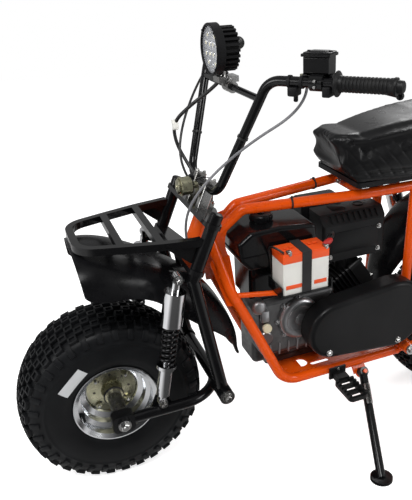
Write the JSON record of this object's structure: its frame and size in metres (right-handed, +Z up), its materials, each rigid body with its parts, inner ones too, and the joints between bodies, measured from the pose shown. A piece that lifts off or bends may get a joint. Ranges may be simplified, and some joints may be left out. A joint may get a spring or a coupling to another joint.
{
  "type": "motorcycle",
  "caption": "Fat-tyre utility minibike on its side stand, with leading-link fork, front rack, high handlebar, round work lamp, small engine under a padded seat and knobby tyres.",
  "frame": {"origin": "middle of the bounding box, on the floor the bike stands on", "axes": "+X forward, +Y to the rider's left, +Z up; the bike leans 4.5 degrees to its left onto the side stand"},
  "size_m": [1.62, 0.8618, 1.1606],
  "materials": {
    "orange": "satin powder coat",
    "black_metal": "gloss powder coat",
    "chrome": "polished",
    "zinc_yellow": "yellow zinc plate",
    "zinc": "grey zinc plate",
    "alloy": "cast",
    "tyre": "moulded rubber",
    "rubber": "ribbed rubber",
    "black_plastic": "moulded plastic",
    "matte_plastic": "moulded plastic",
    "battery_white": "moulded plastic",
    "seat_cover": "stitched vinyl",
    "lens": "clear",
    "strap": "woven web"
  },
  "bodies": {
    "frame": {"main_frame": "orange", "skid_plate": "orange", "rear_swing_arm": "orange", "rear_pivot_bolt": "zinc", "rear_axle": "zinc", "rear_dampers": "chrome", "rear_springs": "black_metal", "rear_damper_bolts": "zinc", "rear_guard": "black_plastic", "engine_block": "alloy", "cylinder": "black_metal", "fuel_tank": "black_metal", "muffler_guard": "black_metal", "air_cleaner": "matte_plastic", "recoil_starter": "black_plastic", "engine_side_cover": "alloy", "drive_cover": "black_metal", "drive_pulleys": "black_metal", "battery": "battery_white", "battery_tray": "black_metal", "battery_strap": "strap", "seat": "seat_cover", "seat_base": "matte_plastic", "foot_pegs": "black_metal"},
    "steering": {"fork_legs": "black_metal", "yokes": "black_metal", "steering_stem": "zinc", "handlebar": "black_metal", "handlebar_risers": "zinc", "grips": "rubber", "brake_master": "black_metal", "brake_lever": "black_metal", "throttle_housing": "matte_plastic", "lamp_body": "matte_plastic", "lamp_lens": "lens", "lamp_bracket": "zinc", "front_rack": "black_metal", "front_guard": "black_plastic", "front_swing_arm": "black_metal", "fork_pivot_bolt": "zinc", "front_axle": "zinc", "front_dampers": "chrome", "front_springs": "black_metal", "front_damper_bolts": "zinc", "horn": "zinc_yellow", "brake_hose": "rubber"},
    "front_wheel": {"front_tyre": "tyre", "front_rim": "alloy", "front_hub": "zinc_yellow"},
    "rear_wheel": {"rear_tyre": "tyre", "rear_rim": "alloy", "rear_hub": "zinc_yellow"},
    "stand": {"side_stand": "black_metal"}
  },
  "joints": [
    {"name": "steering", "type": "hinge", "parent": "frame", "child": "steering", "pos_m": [0.29722, -0.02825, 0.69881], "axis": [-0.363, 0.0718, 0.929], "range_deg": [-30, 30]},
    {"name": "front_wheel_spin", "type": "hinge", "parent": "steering", "child": "front_wheel", "pos_m": [0.57006, -0.0634, 0.24024], "axis": [-0.0033, 0.9969, -0.0784], "continuous": true},
    {"name": "rear_wheel_spin", "type": "hinge", "parent": "frame", "child": "rear_wheel", "pos_m": [-0.56095, -0.06717, 0.24024], "axis": [-0.0033, 0.9969, -0.0784], "continuous": true},
    {"name": "stand_fold", "type": "hinge", "parent": "frame", "child": "stand", "pos_m": [-0.13679, 0.07558, 0.18794], "axis": [-0.1253, 0.8, 0.5868], "range_deg": [0, 95]}
  ]
}
